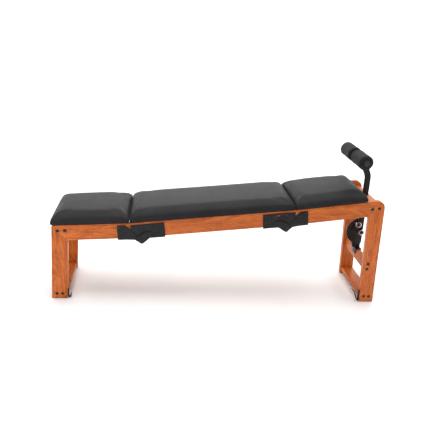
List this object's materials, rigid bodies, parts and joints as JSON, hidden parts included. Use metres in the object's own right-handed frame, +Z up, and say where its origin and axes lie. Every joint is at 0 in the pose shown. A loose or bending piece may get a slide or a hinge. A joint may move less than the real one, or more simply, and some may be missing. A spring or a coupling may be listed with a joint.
{
  "type": "folding exercise bench",
  "caption": "Folding inclined exercise bench with a varnished timber frame, padded black deck in hinged sections and a swinging foot-roller arm.",
  "frame": {"origin": "on the floor, under the centre of the bench's box", "axes": "+X along the bench towards the high end with the foot rollers, +Y across to the rear side, +Z up"},
  "size_m": [1.5596, 0.325, 0.7465],
  "materials": {
    "varnished_wood": "satin varnish over orange-brown hardwood",
    "pad_cover": "matte black fine-grained leatherette",
    "board_ply": "plain plywood",
    "black_steel": "black powder coat",
    "black_fasteners": "black oxide",
    "chrome": "polished",
    "roller_foam": "matte closed-cell foam",
    "roller_core": "matte",
    "black_plastic": "fine-textured",
    "brass": "machined",
    "glide_rubber": "matte"
  },
  "bodies": {
    "middle_section": {"middle_rail_front": "varnished_wood", "middle_rail_rear": "varnished_wood", "middle_cross_board_low": "varnished_wood", "middle_cross_board_high": "varnished_wood", "middle_pad": "pad_cover", "middle_pad_board": "board_ply", "middle_pad_cleats": "varnished_wood", "middle_hinge_plates_low": "black_steel", "middle_hinge_plates_high": "black_steel", "middle_plate_screws": "black_fasteners", "middle_frame_bolts": "black_fasteners", "middle_frame_inserts": "brass", "hinge_bolts": "black_fasteners", "hinge_nuts": "black_fasteners"},
    "low_end_section": {"low_rail_front": "varnished_wood", "low_rail_rear": "varnished_wood", "low_leg_front": "varnished_wood", "low_leg_rear": "varnished_wood", "low_top_board": "varnished_wood", "low_foot_board": "varnished_wood", "low_pad": "pad_cover", "low_pad_board": "board_ply", "low_pad_cleats": "varnished_wood", "low_hinge_plates": "black_steel", "low_plate_screws": "black_fasteners", "low_frame_bolts": "black_fasteners", "low_frame_inserts": "brass", "low_foot_glides": "glide_rubber", "latch_hook": "black_steel"},
    "high_end_section": {"high_rail_front": "varnished_wood", "high_rail_rear": "varnished_wood", "high_leg_front": "varnished_wood", "high_leg_rear": "varnished_wood", "high_top_board": "varnished_wood", "high_middle_board": "varnished_wood", "high_foot_board": "varnished_wood", "high_pad": "pad_cover", "high_pad_board": "board_ply", "high_pad_cleats": "varnished_wood", "high_hinge_plates": "black_steel", "high_plate_screws": "black_fasteners", "high_frame_bolts": "black_fasteners", "high_frame_inserts": "brass", "high_foot_glides": "glide_rubber", "latch_clip": "black_steel", "arm_bracket": "black_steel", "arm_bracket_screws": "black_fasteners", "arm_pivot_bolt": "black_fasteners", "arm_pivot_sleeve": "chrome"},
    "roller_arm": {"swing_arm": "black_steel", "arm_bush": "brass", "roller_axle": "black_steel", "axle_spacers": "black_plastic", "axle_end_plugs": "black_plastic"},
    "front_roller": {"front_roller_core": "roller_core", "front_roller_foam": "roller_foam"},
    "rear_roller": {"rear_roller_core": "roller_core", "rear_roller_foam": "roller_foam"},
    "clamp": {"clamp_knob": "black_plastic", "clamp_ring": "chrome"}
  },
  "joints": [
    {"name": "low_fold", "type": "hinge", "parent": "middle_section", "child": "low_end_section", "pos_m": [-0.37454, 0, 0.31111], "axis": [0, -1, 0], "range_deg": [0, 80]},
    {"name": "high_fold", "type": "hinge", "parent": "middle_section", "child": "high_end_section", "pos_m": [0.27712, 0, 0.3907], "axis": [0, 1, 0], "range_deg": [0, 80]},
    {"name": "arm_swing", "type": "hinge", "parent": "high_end_section", "child": "roller_arm", "pos_m": [0.706, 0, 0.325], "axis": [0, 1, 0], "range_deg": [0, 45]},
    {"name": "front_roller_spin", "type": "hinge", "parent": "roller_arm", "child": "front_roller", "pos_m": [0.607, 0, 0.712], "axis": [0, 1, 0], "continuous": true},
    {"name": "rear_roller_spin", "type": "hinge", "parent": "roller_arm", "child": "rear_roller", "pos_m": [0.607, 0, 0.712], "axis": [0, 1, 0], "continuous": true},
    {"name": "clamp_turn", "type": "hinge", "parent": "high_end_section", "child": "clamp", "pos_m": [0.6825, 0, 0.3657], "axis": [0, -1, 0], "range_deg": [0, 270]}
  ]
}
